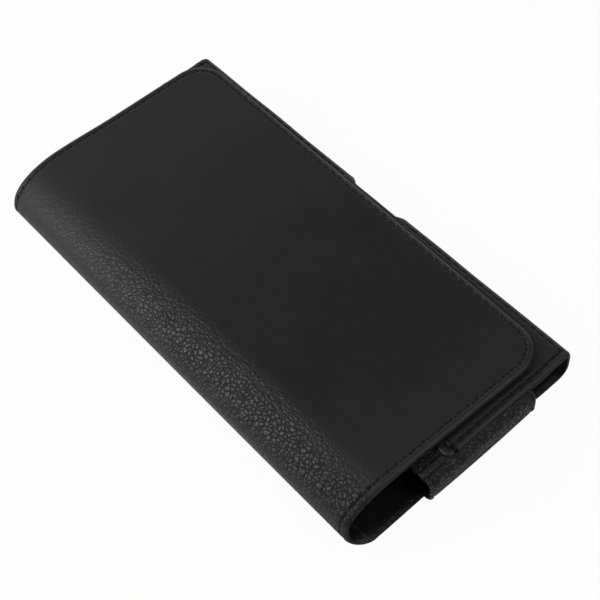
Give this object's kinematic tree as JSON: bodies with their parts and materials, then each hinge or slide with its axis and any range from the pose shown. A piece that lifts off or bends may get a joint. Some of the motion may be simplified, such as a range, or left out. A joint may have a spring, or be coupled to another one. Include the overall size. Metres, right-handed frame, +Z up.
{
  "type": "phone belt holster",
  "caption": "Horizontal leather phone holster with a fold-over magnetic flap, end straps, belt loops and a sprung belt clip.",
  "frame": {"origin": "under the middle of the holster, on the flat outer face of the belt clip that it lies on", "axes": "+X along the holster, +Y from the flap's fold to the bottom fold (downwards when worn), +Z up through the closed flap"},
  "size_m": [0.1752, 0.0864, 0.0241],
  "materials": {
    "smooth_leather": "satin, fine pebble grain",
    "grained_leather": "satin, coarse pebble grain",
    "lining": "matt microfibre",
    "board": "matt",
    "steel": "bright zinc",
    "magnet": "nickel plated",
    "black_steel": "satin black"
  },
  "bodies": {
    "pouch": {"pouch_leather": "smooth_leather", "pouch_lining": "lining", "back_board": "board", "front_board": "board", "keeper_left": "steel", "keeper_right": "steel", "end_strap_left": "grained_leather", "end_strap_right": "grained_leather", "belt_loop_left": "grained_leather", "belt_loop_right": "grained_leather", "clip_backing_plate": "steel", "clip_rivets": "black_steel", "clip_base": "black_steel", "clip_pin": "steel", "clip_spring": "steel"},
    "flap": {"flap_leather": "smooth_leather", "flap_board": "board", "flap_lining": "lining", "flap_magnet_left": "magnet", "flap_magnet_right": "magnet"},
    "clip_lever": {"clip_lever": "black_steel"}
  },
  "joints": [
    {"name": "flap_hinge", "type": "hinge", "parent": "pouch", "child": "flap", "pos_m": [0, -0.0432, 0.0124], "axis": [1, 0, 0], "range_deg": [0, 165]},
    {"name": "clip_hinge", "type": "hinge", "parent": "pouch", "child": "clip_lever", "pos_m": [0, -0.0262, 0.00485], "axis": [-1, 0, 0], "range_deg": [0, 18], "stiffness_Nm_per_rad": 0.5, "springref_deg": -34.38, "deforming": ["clip_spring"]}
  ]
}
